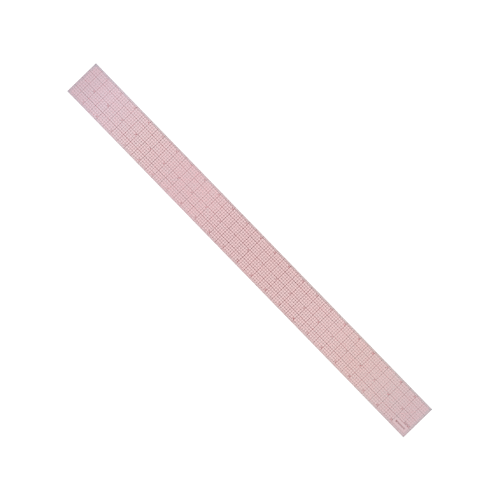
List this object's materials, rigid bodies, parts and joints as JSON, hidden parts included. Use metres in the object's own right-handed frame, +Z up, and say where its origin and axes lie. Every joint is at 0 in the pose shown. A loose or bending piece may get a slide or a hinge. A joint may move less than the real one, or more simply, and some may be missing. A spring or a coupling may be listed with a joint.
{
  "type": "graph ruler",
  "caption": "Long flat see-through graph ruler with a red printed grid, edge numerals and a centring scale, sealed between two clear plastic sheets.",
  "frame": {"origin": "centre of the underside, below the zero of the centring scale", "axes": "+X along the ruler towards the higher edge numbers, +Y across it to the far edge, +Z up through the printed face"},
  "size_m": [0.6096, 0.0508, 0.0008],
  "materials": {
    "clear_sheet": "clear flexible vinyl sheet, glossy, with light handling scuffs and greyer cut edges",
    "clear_film": "thin clear vinyl film, glossy, laminated over the print",
    "red_ink": "screen-printed red ink, semi-matt, sealed under the film"
  },
  "bodies": {
    "root": {"base_sheet": "clear_sheet", "cover_film": "clear_film", "fine_cross_lines": "red_ink", "bold_cross_lines": "red_ink", "fine_long_lines": "red_ink", "bold_long_lines": "red_ink", "far_edge_ticks": "red_ink", "near_edge_ticks": "red_ink", "left_end_ticks": "red_ink", "right_end_ticks": "red_ink", "far_edge_numerals": "red_ink", "near_edge_numerals": "red_ink", "centring_numerals": "red_ink", "maker_badge": "red_ink", "code_bars": "red_ink"}
  },
  "joints": []
}
